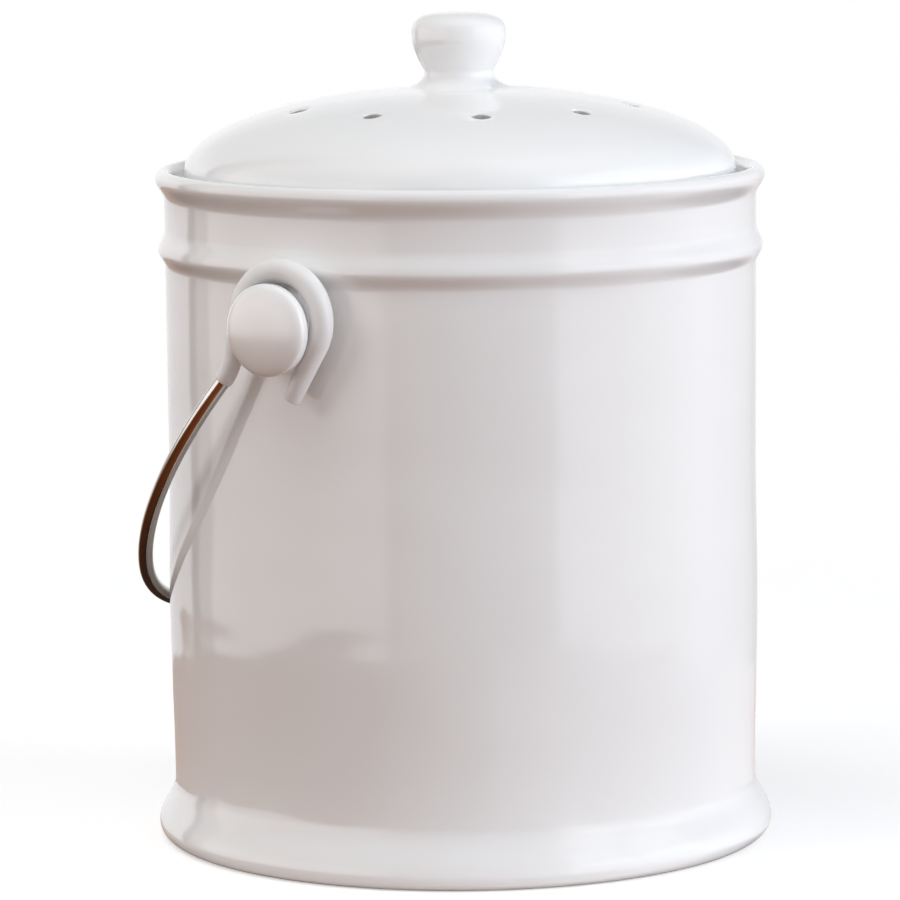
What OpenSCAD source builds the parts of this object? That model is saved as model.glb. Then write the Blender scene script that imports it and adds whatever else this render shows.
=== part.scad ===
// Countertop compost crock: a glazed stoneware pail with a loose domed lid,
// a charcoal disc under the lid and a steel bail hung on two stub lugs.
// Millimetres. Z is up, the table is z = 0, the crock's axis is x = y = 0
// and the two lugs lie on the X axis. The bail hangs to the +Y side.

/* [Crock] */
// Outside diameter of the wall just above the foot
crock_d = 180.7; // [160:0.1:220]
// Height from the table to the top of the rim
crock_h = 207.4; // [175:0.1:250]
// How far the wall opens out on the radius between foot and bead
wall_taper = 0.7; // [0:0.1:2]
// How far the hand-thrown wall swells out on the radius, low down
wall_swell = 0.7; // [0:0.1:1.5]
// Height of the widest part of the swell
swell_z = 72; // [60:1:80]
// Height over which the swell dies out upwards
swell_up = 50; // [30:1:50]
// Thickness of the fired wall
wall_t = 4.6; // [3.6:0.1:6.5]
// Thickness of the floor
floor_t = 5.5; // [4:0.1:9]
// Radius of the inside corner between floor and wall
floor_fillet = 12; // [4:0.5:20]

/* [Foot] */
// How far the foot stands out past the wall
foot_out = 5.1; // [2:0.1:8]
// Rounding of the foot's outer edge
foot_round = 4.4; // [2:0.1:6]
// Height of the hollow curve from the foot up to the wall
foot_sweep_h = 13.6; // [8:0.2:24]
// Width of the dry ring that stands on the table
ring_w = 8; // [5:0.5:14]
// Depth of the hollow inside the ring
ring_recess = 1.8; // [1:0.1:3]

/* [Bead] */
// Distance from the rim's top down to the crest of the bead
bead_drop = 24.7; // [20:0.1:32]
// How far the bead stands out past the wall
bead_out = 2; // [1:0.1:4]
// Height of the bead's steep lower side
bead_low_h = 5.2; // [3:0.1:8]
// Height of the bead's gentle upper side
bead_high_h = 6.8; // [4:0.1:10]

/* [Rim] */
// How far the lip stands out past the wall
lip_out = 2.7; // [1.5:0.1:4.5]
// Thickness of the lip from outside to inside
lip_t = 5.1; // [4:0.1:7]
// Height of the curve under the lip
lip_sweep_h = 6.5; // [4:0.1:9]
// Height of the rounded top of the lip
lip_crown_h = 2.8; // [1.5:0.1:3.5]
// Depth from the rim's top down to the ledge that carries the lid
ledge_depth = 6.4; // [5:0.1:9]
// Width of the ledge
ledge_w = 8.1; // [7:0.1:11]
// Thickness of the ledge at its inner edge
ledge_t = 4; // [3:0.1:6]
// Height of the slope from the ledge's underside back to the wall
ledge_slope_h = 9; // [6:0.5:14]

/* [Lid] */
// Open groove between the rim and the edge of the lid
lid_groove = 3.8; // [2.5:0.1:4.5]
// Height of the lid's upright edge above the ledge
lid_edge_h = 5.5; // [4:0.1:8]
// Rise of the dome above its edge
dome_h = 25.4; // [18:0.2:34]
// Thickness of the dome
dome_t = 4.8; // [4:0.1:7]
// Play on the radius between the locating skirt and the ledge
skirt_play = 2; // [1:0.1:2.6]
// Thickness of the locating skirt
skirt_t = 3.8; // [3:0.1:5]
// Depth of the skirt below the ledge
skirt_depth = 12; // [11:0.5:16]
// Width of the shoulder inside the skirt that stops the filter
shoulder_w = 2.5; // [1.5:0.1:4]

/* [Vents] */
// Number of vent holes
vent_count = 10; // [6:1:12]
// Diameter of one vent hole
vent_d = 5.6; // [4:0.1:8]
// Radius of the ring of vents
vent_ring_r = 53.5; // [40:0.5:60]
// Turn of the ring of vents about the lid's axis
vent_turn = 4.5; // [0:0.5:36]

/* [Knob] */
// Widest diameter of the knob
knob_d = 29; // [24:0.2:36]
// Diameter of the knob's neck
knob_neck_d = 21.2; // [16:0.2:23]
// Height from the top of the dome to the top of the knob
knob_h = 22.6; // [18:0.2:30]
// Height of the crown above the knob's widest line
knob_crown_h = 6.9; // [5:0.1:9]
// Width of the hollow curve between neck and dome
knob_cove_w = 7.4; // [4:0.2:9]
// Height of that hollow curve
knob_cove_h = 5; // [3.6:0.1:6]

/* [Filter] */
// Thickness of the charcoal disc
filter_t = 8; // [5:0.5:9]
// Play on the radius between disc and skirt
filter_play = 0.15; // [0.1:0.05:0.5]

/* [Lugs] */
// Distance from the rim's top down to the lugs' axis
lug_drop = 41; // [38:0.2:46]
// Diameter of the stem the bail turns on
stem_d = 20; // [18:0.2:22]
// How far the button stands out past the stem
button_lip = 3.7; // [2.6:0.1:4.4]
// Thickness of the button's rim
button_edge = 2.4; // [1.6:0.1:4]
// Rise of the button's domed face
button_dome = 4; // [2:0.1:6]
// Reach of the small hollow curve between stem and wall
stem_cove = 1.4; // [0.8:0.1:1.6]

/* [Bail] */
// Diameter of the steel rod
rod_d = 4.6; // [4:0.1:5]
// Thickness of the ear sleeve where it runs round the stem
sleeve_d = 7; // [6.6:0.1:7.8]
// Thickness of the sleeve at its rod end
sleeve_rod_end_d = 5.6; // [5.4:0.1:6.4]
// Thickness of the sleeve at its free tail
sleeve_tail_d = 5.4; // [5.3:0.1:6.2]
// Free play round the bail's ears: on the stem, bead and button
ear_play = 0.5; // [0.3:0.05:0.8]
// How much deeper than round a crook is, so that it can be worked over the button
crook_rise = 2.9; // [1:0.1:3.4]
// Angle at which the rod leg of an ear runs in towards the bail
ear_lean = 28; // [24:1:32]
// Angle at which the free tail of an ear opens out
tail_lean = 12; // [8:1:18]
// Length of the free tail
tail_len = 19; // [14:0.5:22]
// Bend radius where the rod leaves the ear
neck_bend_r = 17; // [12:1:20]
// Offset of the rod from the lugs' axis
rod_offset = 4.4; // [3.6:0.1:5]
// How far the arch stands inside the ears
arch_in = 10.4; // [8:0.2:11.6]
// Angle of the arch handed over to the long side curves
arch_from = 45; // [41:1:49]
// Depth at which the rod's end sits inside the tail
tail_recess = 1.2; // [0.6:0.1:2.5]

/* [Hidden] */
// Air left under a lid, disc or bail that rests on its stop
rest_gap = 0.05;
// Moulding play between rod and sleeve
bond_gap = 0.02;
// A collar on a rod's joint: its swell past the rod, its length and the gap it bridges
joint_swell = 0.02;
joint_len = 0.6;
joint_gap = 0.1;
// Rounding of small fired edges
soft_r = 1.2;
// Rounding of the button's back edge
button_soft_r = 0.7;
// Height of the filter's stop below the lid's seat
shoulder_drop = 1.8;
// Height of the lid's upright inner wall below the dome's edge
cavity_drop = 1.6;
// Straight part of the knob's neck, and how square its head is
knob_neck_h = 0.6;
knob_square = 3;
// How far a cut runs past what it cuts
cut_over = 1;
// Steps round the crock and lid, the knob and lugs, and a rod
round_fn = 44;
small_fn = 28;
rod_fn = 16;
// Length of a step along a rod
rod_step = 10;

// Crock
wall_foot_r = crock_d / 2;
wall_top_r = wall_foot_r + wall_taper;
foot_r = wall_foot_r + foot_out;
ring_out_r = foot_r - foot_round;
ring_in_r = ring_out_r - ring_w;
wall_in_r = wall_foot_r - wall_t;
bead_r = wall_top_r + bead_out;
bead_z = crock_h - bead_drop;
wall_low_z = foot_round + foot_sweep_h;
wall_high_z = bead_z - bead_low_h;
lip_r = wall_top_r + lip_out;
lip_in_r = lip_r - lip_t;
lip_z = crock_h - lip_crown_h;
ledge_z = crock_h - ledge_depth;
ledge_r = lip_in_r - ledge_w;
floor_z = ring_recess + floor_t;

// Lid
lid_r = lip_in_r - lid_groove;
seat_z = ledge_z + rest_gap;
dome_z = seat_z + lid_edge_h;
dome_top_z = dome_z + dome_h;
skirt_r = ledge_r - skirt_play;
skirt_in_r = skirt_r - skirt_t;
skirt_z = seat_z - skirt_depth;
shoulder_z = seat_z - shoulder_drop;
cavity_r = skirt_in_r - shoulder_w;
cavity_z = dome_z - cavity_drop;

// Lugs and bail
lug_z = crock_h - lug_drop;
stem_r = stem_d / 2;
button_r = stem_r + button_lip;
ear_x = bead_r + ear_play + sleeve_d / 2;
button_x = ear_x + sleeve_d / 2 + ear_play;
crook_r = stem_r + ear_play + sleeve_d / 2 + crook_rise * sin((ear_lean - tail_lean) / 2);
crook_centre = crook_rise * [-cos((ear_lean + tail_lean) / 2), sin((ear_lean + tail_lean) / 2)];
leg_start = crook_centre + crook_r * [sin(ear_lean), cos(ear_lean)];
leg_len = (leg_start[1] - neck_bend_r * (1 - cos(ear_lean)) - rod_offset) / sin(ear_lean);
leg_end = leg_start + leg_len * [cos(ear_lean), -sin(ear_lean)];
neck_centre = leg_end + neck_bend_r * [sin(ear_lean), cos(ear_lean)];
tail_start = crook_centre - crook_r * [sin(tail_lean), cos(tail_lean)];
arch_r = ear_x - arch_in;
side_r = (ear_x - arch_r * cos(arch_from)) / (1 - cos(arch_from));
side_drop = neck_centre[0];
arch_drop = side_drop + (side_r - arch_r) * sin(arch_from);
bail_reach = arch_drop + arch_r;
// Angle off the vertical at which the hanging arch comes to rest on the wall
lean_reach = max(wall_top_r, wall_at(swell_z)) + rod_d / 2 + rest_gap;
bail_lean = asin(lean_reach / norm([bail_reach, rod_offset])) - atan2(rod_offset, bail_reach);

// Points of a smooth step in radius from one height to another
function sweep(r0, z0, r1, z1, n, first = 1) =
  [for (i = [first:n]) [r0 + (r1 - r0) * (1 - cos(180 * i / n)) / 2, z0 + (z1 - z0) * i / n]];

// Points of an elliptic arc about a centre
function arc(cr, cz, ar, az, a0, a1, n) =
  [for (i = [0:n]) let (a = a0 + (a1 - a0) * i / n) [cr + ar * cos(a), cz + az * sin(a)]];

// Radius of the wall's outside at a height, with its swell
function wall_at(z) =
  let (off = z < swell_z ? (swell_z - z) / (swell_z - wall_low_z) : min(1, (z - swell_z) / swell_up))
  wall_foot_r + wall_taper * (z - wall_low_z) / (wall_high_z - wall_low_z)
  + wall_swell * (1 + cos(180 * off)) / 2;

// Height of the dome's top face at a radius
function dome_at(r) = dome_z + dome_h * sqrt(1 - pow(r / lid_r, 2));

crock_outside = concat(
  arc(foot_r - foot_round, foot_round, foot_round, foot_round, -90, 0, 3),
  sweep(foot_r, foot_round, wall_foot_r, wall_low_z, 6),
  [for (i = [1:4]) let (z = wall_low_z + (swell_z - wall_low_z) * i / 4) [wall_at(z), z]],
  [for (i = [1:4]) let (z = swell_z + swell_up * i / 4) [wall_at(z), z]],
  sweep(wall_top_r, wall_high_z, bead_r, bead_z, 3, 0),
  sweep(bead_r, bead_z, wall_top_r, bead_z + bead_high_h, 4),
  sweep(wall_top_r, lip_z - lip_sweep_h, lip_r, lip_z, 4, 0),
  arc(lip_r - lip_t / 2, lip_z, lip_t / 2, lip_crown_h, 20, 180, 7)
);

crock_inside = concat(
  arc(lip_in_r - soft_r, ledge_z + soft_r, soft_r, soft_r, 0, -90, 2),
  arc(ledge_r + soft_r, ledge_z - soft_r, soft_r, soft_r, 90, 180, 2),
  sweep(ledge_r, ledge_z - ledge_t, wall_in_r, ledge_z - ledge_t - ledge_slope_h, 3, 0),
  arc(wall_in_r - floor_fillet, floor_z + floor_fillet, floor_fillet, floor_fillet, 0, -90, 4),
  [[0, floor_z], [0, ring_recess]],
  [[ring_in_r - ring_recess, ring_recess], [ring_in_r, 0]]
);

dome_outside = arc(0, dome_z, lid_r, dome_h, 90, 0, 14);

lid_section = concat(
  dome_outside,
  arc(lid_r - soft_r, seat_z + soft_r, soft_r, soft_r, 0, -90, 2),
  [[skirt_r, seat_z]],
  arc(skirt_r - soft_r, skirt_z + soft_r, soft_r, soft_r, 0, -90, 2),
  arc(skirt_in_r + soft_r, skirt_z + soft_r, soft_r, soft_r, -90, -180, 2),
  [[skirt_in_r, shoulder_z], [cavity_r, shoulder_z]],
  arc(0, cavity_z, cavity_r, dome_top_z - dome_t - cavity_z, 0, 90, 8)
);

// Solid bounded by the crock's outside, without its hollow
module crock_blank() {
  rotate_extrude($fn = round_fn)
    polygon(concat([[0, 0]], crock_outside, [[0, lip_z]]));
}

// Solid bounded by the top of the dome
module dome_blank() {
  rotate_extrude($fn = round_fn)
    polygon(concat(dome_outside, [[lid_r, seat_z], [0, seat_z]]));
}

// Thrown and turned pail: foot, wall, bead, lip and the ledge for the lid
module crock_body() {
  color([0.95, 0.94, 0.93])
    rotate_extrude($fn = round_fn)
      polygon(concat(crock_outside, crock_inside));
}

// Stub lug along +X, cut to sit on the wall
module lug_right() {
  root = wall_foot_r - wall_t / 2;
  section = concat(
    [[0, root], [stem_r + stem_cove, root]],
    arc(stem_r + stem_cove, wall_top_r + stem_cove, stem_cove, stem_cove, -90, -180, 3),
    [[stem_r, button_x]],
    arc(button_r - button_soft_r, button_x + button_soft_r, button_soft_r, button_soft_r, -90, 0, 2),
    arc(0, button_x + button_edge, button_r, button_dome, 0, 90, 7)
  );
  color([0.93, 0.92, 0.9])
    difference() {
      translate([0, 0, lug_z])
        rotate([0, 90, 0])
          rotate_extrude($fn = small_fn)
            polygon(section);
      crock_blank();
    }
}

// The other lug
module lug_left() {
  mirror([1, 0, 0])
    lug_right();
}

// Domed lid with its locating skirt and ring of vents
module lid() {
  color([0.96, 0.96, 0.95])
    difference() {
      rotate_extrude($fn = round_fn)
        polygon(lid_section);
      for (i = [0:vent_count - 1])
        rotate([0, 0, vent_turn + i * 360 / vent_count])
          translate([vent_ring_r, 0, dome_z])
            cylinder(d = vent_d, h = dome_h + cut_over, $fn = 14);
    }
}

// Turned knob with a hollow neck, seated on the dome
module lid_knob() {
  neck_r = knob_neck_d / 2;
  head_r = knob_d / 2;
  cove_r = neck_r + knob_cove_w;
  cove_z = dome_at(cove_r) - soft_r / 4;
  neck_z = cove_z + knob_cove_h;
  swell_z = neck_z + knob_neck_h;
  top_z = dome_top_z + knob_h;
  wide_z = top_z - knob_crown_h;
  steps = 6;
  section = concat(
    [[0, dome_z], [cove_r, dome_z]],
    arc(cove_r, neck_z, knob_cove_w, knob_cove_h, -90, -180, 5),
    [for (i = [1:steps])
      [neck_r + (head_r - neck_r) * sin(90 * i / steps), swell_z + (wide_z - swell_z) * i / steps]],
    [for (i = [1:steps]) let (t = sin(90 * i / steps))
      [head_r * pow(1 - pow(t, knob_square), 1 / knob_square), wide_z + knob_crown_h * t]]
  );
  color([0.96, 0.96, 0.95])
    difference() {
      rotate_extrude($fn = small_fn)
        polygon(section);
      dome_blank();
    }
}

// Charcoal disc held in the skirt
module charcoal_filter() {
  color([0.12, 0.12, 0.12])
    translate([0, 0, shoulder_z - rest_gap - filter_t])
      cylinder(r = skirt_in_r - filter_play, h = filter_t, $fn = round_fn);
}

// Straight tapering length of an ear, drawn from a point at an angle
module ear_leg(from, angle, len, r_start, r_end) {
  translate([from[0], from[1], 0])
    rotate([0, 0, angle])
      rotate([0, 90, 0])
        translate([0, 0, joint_gap])
          cylinder(r1 = r_start, r2 = r_end, h = len - 2 * joint_gap, $fn = rod_fn);
}

// Part turn of a round rod about a centre
module rod_turn(centre, bend_r, from, turn, r) {
  gap = joint_gap / bend_r * 180 / PI;
  translate([centre[0], centre[1], 0])
    rotate([0, 0, from + gap])
      rotate_extrude(angle = turn - 2 * gap, $fn = max(26, round(2 * PI * bend_r / rod_step)))
        translate([bend_r, 0])
          circle(r = r, $fn = rod_fn);
}

// Short collar that closes the joint between two lengths of rod
module rod_joint(at, angle, r) {
  translate([at[0], at[1], 0])
    rotate([0, 0, angle])
      rotate([0, 90, 0])
        cylinder(r = r + joint_swell, h = joint_len, center = true, $fn = rod_fn);
}

// Places an ear's flat drawing in its plane: x runs down the bail
module ear_plane() {
  translate([ear_x, 0, 0])
    rotate([0, 90, 0])
      children();
}

// Crook of the ear round its stem
module ear_crook(r) {
  rod_turn(crook_centre, crook_r, 90 - ear_lean, 180 + ear_lean - tail_lean, r);
}

// Bend that brings the leg of an ear into line with the bail
module ear_neck(r) {
  rod_turn(neck_centre, neck_bend_r, 270 - ear_lean, ear_lean, r);
}

// Crook of the ear with its tail, its rod leg and the bend out of it
module ear_path(r_turn, r_leg, r_tail, tail) {
  ear_crook(r_turn);
  ear_leg(leg_start, -ear_lean, leg_len, r_turn, r_leg);
  ear_leg(tail_start, -tail_lean, tail, r_turn, r_tail);
  ear_neck(r_leg);
  rod_joint(leg_start, -ear_lean, r_turn);
  rod_joint(tail_start, -tail_lean, r_turn);
  rod_joint(leg_end, -ear_lean, r_leg);
}

// Hangs what it is given on the lugs, leaning on the wall
module hang() {
  translate([0, 0, lug_z])
    rotate([bail_lean, 0, 0])
      children();
}

// One end of the rod: the ear and the long side curve
module rod_end() {
  r = rod_d / 2;
  ear_plane() {
    ear_path(r, r, r, tail_len - tail_recess);
    rod_joint([side_drop, rod_offset], 0, r);
  }
  translate([0, rod_offset, 0])
    rotate([-90, 0, 0]) {
      rod_turn([ear_x - side_r, side_drop], side_r, 0, arch_from, r);
      rod_joint([arch_r * cos(arch_from), arch_drop + arch_r * sin(arch_from)], 90 + arch_from, r);
    }
}

// The bail's rod, from tail to tail in one length
module bail_rod() {
  color([0.62, 0.6, 0.57])
    hang() {
      rod_end();
      mirror([1, 0, 0])
        rod_end();
      translate([0, rod_offset, 0])
        rotate([-90, 0, 0])
          rod_turn([0, arch_drop], arch_r, arch_from, 180 - 2 * arch_from, rod_d / 2);
    }
}

// Moulded sleeve of one ear, with the rod's bore right through it
module ear_sleeve() {
  bore = rod_d / 2 + bond_gap;
  ear_plane()
    difference() {
      ear_path(sleeve_d / 2, sleeve_rod_end_d / 2, sleeve_tail_d / 2, tail_len);
      rod_joint(leg_start, -ear_lean, bore);
      rod_joint(tail_start, -tail_lean, bore);
      ear_crook(bore);
      ear_leg(leg_start, -ear_lean, leg_len, bore, bore);
      rod_joint(leg_end, -ear_lean, bore);
      ear_neck(bore);
      rod_joint([side_drop, rod_offset], 0, bore);
      ear_leg(tail_start, -tail_lean, tail_len + cut_over, bore, bore);
    }
}

// Sleeves of the two ears
module ear_right() {
  color([0.93, 0.92, 0.91])
    hang()
      ear_sleeve();
}

module ear_left() {
  color([0.93, 0.92, 0.91])
    hang()
      mirror([1, 0, 0])
        ear_sleeve();
}

crock_body();
lug_left();
lug_right();
lid();
lid_knob();
charcoal_filter();
bail_rod();
ear_left();
ear_right();
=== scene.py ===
import math

import bmesh
import bpy
from mathutils import Matrix, Vector, noise


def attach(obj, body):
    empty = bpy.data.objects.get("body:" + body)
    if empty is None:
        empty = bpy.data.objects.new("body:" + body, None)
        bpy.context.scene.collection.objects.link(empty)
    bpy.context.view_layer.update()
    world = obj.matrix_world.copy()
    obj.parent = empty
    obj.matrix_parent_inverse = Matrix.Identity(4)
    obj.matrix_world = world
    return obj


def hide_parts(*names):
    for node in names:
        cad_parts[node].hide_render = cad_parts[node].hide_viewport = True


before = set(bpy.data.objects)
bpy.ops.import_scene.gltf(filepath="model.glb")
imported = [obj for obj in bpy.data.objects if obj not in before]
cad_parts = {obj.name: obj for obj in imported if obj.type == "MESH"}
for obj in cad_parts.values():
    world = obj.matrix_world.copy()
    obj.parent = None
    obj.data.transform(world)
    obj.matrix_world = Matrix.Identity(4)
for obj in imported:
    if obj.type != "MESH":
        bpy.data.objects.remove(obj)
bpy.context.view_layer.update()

scene = bpy.context.scene
scene.view_settings.view_transform = "Standard"

# Pail: thrown and turned stoneware under a clear glossy glaze, with a flared foot on
# a dry ring, a bead below the rim, a rolled lip and, inside it, a ledge for the lid.
# The outline is spun about the upright axis, in millimetres.
MM = 0.001
CLAY_STEPS = 192
WALL_FOOT_R = 90.35
WALL_TOP_R = WALL_FOOT_R + 0.7
WALL_IN_R = WALL_FOOT_R - 4.6
WALL_SWELL = 0.7
SWELL_Z = 72.0
SWELL_UP = 50.0
PAIL_H = 207.4
FOOT_R = WALL_FOOT_R + 5.1
FOOT_ROUND = 4.4
FOOT_SWEEP_H = 13.6
RING_IN_R = FOOT_R - FOOT_ROUND - 8.0
RING_RECESS = 1.8
RING_SOFT = 0.4
RECESS_ROUND = 0.9
RECESS_RINGS = (0.0, 40.0, RING_IN_R - 3.0)
FLOOR_Z = RING_RECESS + 5.5
FLOOR_FILLET = 12.0
FLOOR_RINGS = (50.0, 25.0, 0.0)
BEAD_R = WALL_TOP_R + 2.0
BEAD_Z = PAIL_H - 24.7
BEAD_LOW_H = 5.2
BEAD_HIGH_H = 6.8
WALL_LOW_Z = FOOT_ROUND + FOOT_SWEEP_H
WALL_HIGH_Z = BEAD_Z - BEAD_LOW_H
LIP_R = WALL_TOP_R + 2.7
LIP_T = 5.1
LIP_SWEEP_H = 6.5
LIP_CROWN_H = 2.8
LIP_IN_R = LIP_R - LIP_T
LIP_Z = PAIL_H - LIP_CROWN_H
LEDGE_Z = PAIL_H - 6.4
LEDGE_R = LIP_IN_R - 8.1
LEDGE_T = 4.0
LEDGE_SLOPE_H = 9.0
SOFT_R = 1.2
GLAZE_IOR = 1.6
BARE_CLAY = (0.68, 0.62, 0.54, 1.0)
BARE_FOOT = (-1.0, 0.35)


def arc(centre_r, centre_z, wide, high, start, end, count, first=0):
    """Points of an elliptic arc about a centre, from one angle to another."""
    turns = [math.radians(start + (end - start) * i / count) for i in range(first, count + 1)]
    return [(centre_r + wide * math.cos(a), centre_z + high * math.sin(a)) for a in turns]


def sweep(r0, z0, r1, z1, count, first=1):
    """Points of a smooth step in radius from one height to another."""
    return [(r0 + (r1 - r0) * (1 - math.cos(math.pi * i / count)) / 2, z0 + (z1 - z0) * i / count)
            for i in range(first, count + 1)]


def run(r0, z0, r1, z1, count, first=1):
    """Even points along a straight side."""
    return [(r0 + (r1 - r0) * i / count, z0 + (z1 - z0) * i / count)
            for i in range(first, count + 1)]


def wall_at(z):
    """Radius of the outside at a height: a slight taper and the low swell of a thrown wall."""
    if z < SWELL_Z:
        off = (SWELL_Z - z) / (SWELL_Z - WALL_LOW_Z)
    else:
        off = min(1.0, (z - SWELL_Z) / SWELL_UP)
    taper_part = (WALL_TOP_R - WALL_FOOT_R) * (z - WALL_LOW_Z) / (WALL_HIGH_Z - WALL_LOW_Z)
    return WALL_FOOT_R + taper_part + WALL_SWELL * (1 + math.cos(math.pi * off)) / 2


def spun(outline, steps):
    """Spins an outline of (radius, height) points about the upright axis into a closed skin."""
    bm = bmesh.new()
    points = [bm.verts.new((r * MM, 0, z * MM)) for r, z in outline]
    sides = [bm.edges.new(pair) for pair in zip(points, points[1:])]
    bmesh.ops.spin(bm, geom=points + sides, cent=(0, 0, 0), axis=(0, 0, 1), dvec=(0, 0, 0),
                   angle=2 * math.pi, steps=steps, use_merge=True)
    bmesh.ops.remove_doubles(bm, verts=bm.verts, dist=1e-7)
    return bm


def piece(name, bm, look, body, node, sharp=42.0):
    """Turns a finished bmesh into the piece that stands for a CAD node."""
    bmesh.ops.recalc_face_normals(bm, faces=bm.faces)
    mesh = bpy.data.meshes.new(name)
    bm.to_mesh(mesh)
    bm.free()
    mesh.shade_smooth()
    mesh.set_sharp_from_angle(angle=math.radians(sharp))
    mesh.materials.append(look)
    made = bpy.data.objects.new(name, mesh)
    scene.collection.objects.link(made)
    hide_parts(node)
    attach(made, body)
    return made


def plug(tree, made, **sockets):
    """Fills a node's sockets, each with a value or with another node's output to link."""
    for key, value in sockets.items():
        label = int(key[1:]) if key[1:].isdigit() else key.replace("_", " ")
        if isinstance(value, bpy.types.NodeSocket):
            tree.links.new(value, made.inputs[label])
        else:
            made.inputs[label].default_value = value
    return made


def add(tree, kind, operation=None, **sockets):
    """Adds a shader node, with its operation and its sockets by name or by number."""
    made = tree.nodes.new(kind)
    if operation:
        made.operation = operation
    return plug(tree, made, **sockets)


def mixed(tree, share, first, second):
    """A mix of two colours, each a plain colour or an output to link."""
    made = tree.nodes.new("ShaderNodeMix")
    made.data_type = "RGBA"
    return plug(tree, made, _0=share, _6=first, _7=second).outputs[2]


def ramp(tree, factor, stops):
    """A colour ramp from (place, colour) stops, where one number stands for a grey."""
    made = add(tree, "ShaderNodeValToRGB", _0=factor)
    points = made.color_ramp.elements
    points.remove(points[1])
    for index, (place, colour) in enumerate(stops):
        point = points[0] if index == 0 else points.new(place)
        point.position = place
        red, green, blue = colour if isinstance(colour, tuple) else (colour,) * 3
        point.color = (red, green, blue, 1.0)
    return made.outputs[0]


def group_of(name, inputs, outputs):
    """An empty node group, with its inputs as (name, value) and its outputs as (name, kind)."""
    group = bpy.data.node_groups.new(name, "ShaderNodeTree")
    for label, value in inputs:
        socket = group.interface.new_socket(label, in_out="INPUT", socket_type="NodeSocketFloat")
        socket.default_value = value
    for label, kind in outputs:
        group.interface.new_socket(label, in_out="OUTPUT", socket_type="NodeSocket" + kind)
    return group


def fresh(name):
    """A new material with an empty tree."""
    look = bpy.data.materials.new(name)
    look.use_nodes = True
    look.node_tree.nodes.clear()
    return look, look.node_tree


def own_space(tree):
    """The piece's own coordinates, in metres."""
    return add(tree, "ShaderNodeTexCoord").outputs["Object"]


def shade(tree, **sockets):
    """The material's shader, wired to its output."""
    shader = add(tree, "ShaderNodeBsdfPrincipled", **sockets)
    add(tree, "ShaderNodeOutputMaterial", Surface=shader.outputs[0])


def use(tree, group, **sockets):
    """Places a node group in a material, with its own values."""
    made = tree.nodes.new("ShaderNodeGroup")
    made.node_tree = group
    return plug(tree, made, **sockets)


# Tone, gloss and slow waves of a dipped glaze
glaze_skin = group_of("glaze_skin", [("Wave", 0.5), ("Gloss", 0.05)],
                      [("Colour", "Color"), ("Roughness", "Float"), ("Normal", "Vector")])
into = add(glaze_skin, "NodeGroupInput")
place = own_space(glaze_skin)
cloud = add(glaze_skin, "ShaderNodeTexNoise", Vector=place, Scale=16.0, Detail=3.0)
tone = ramp(glaze_skin, cloud.outputs["Fac"],
            [(0.3, (0.87, 0.87, 0.865)), (0.7, (0.885, 0.885, 0.88))])
grain = add(glaze_skin, "ShaderNodeTexNoise", Vector=place, Scale=1100.0, Detail=1.0)
gloss = add(glaze_skin, "ShaderNodeMath", "MULTIPLY_ADD", _0=grain.outputs["Fac"], _1=0.04,
            _2=into.outputs["Gloss"])
throwing = add(glaze_skin, "ShaderNodeMapping", Vector=place, Scale=(1.0, 1.0, 2.2))
wave = add(glaze_skin, "ShaderNodeTexNoise", Vector=throwing.outputs[0], Scale=17.0, Detail=1.0)
slow = add(glaze_skin, "ShaderNodeBump", Strength=into.outputs["Wave"], Distance=0.0012,
           Height=wave.outputs["Fac"])
fine = add(glaze_skin, "ShaderNodeBump", Strength=0.05, Distance=0.0001,
           Height=grain.outputs["Fac"], Normal=slow.outputs[0])
add(glaze_skin, "NodeGroupOutput", Colour=tone, Roughness=gloss.outputs[0],
    Normal=fine.outputs[0])


def glaze(name, bare, wave=0.5):
    """Clear glaze over a white body, left off between two heights, where the clay is bare."""
    look, tree = fresh(name)
    skin = use(tree, glaze_skin, Wave=wave, Gloss=0.035)
    height = add(tree, "ShaderNodeSeparateXYZ", _0=own_space(tree)).outputs["Z"]
    above = add(tree, "ShaderNodeMath", "GREATER_THAN", _0=height, _1=bare[0] * MM).outputs[0]
    below = add(tree, "ShaderNodeMath", "LESS_THAN", _0=height, _1=bare[1] * MM).outputs[0]
    dry = add(tree, "ShaderNodeMath", "MULTIPLY", _0=above, _1=below).outputs[0]
    rough = add(tree, "ShaderNodeMath", "MULTIPLY_ADD", _0=dry, _1=0.75,
                _2=skin.outputs["Roughness"])
    shade(tree, Base_Color=mixed(tree, dry, skin.outputs["Colour"], BARE_CLAY),
          Roughness=rough.outputs[0], IOR=GLAZE_IOR, Normal=skin.outputs["Normal"])
    return look


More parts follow.
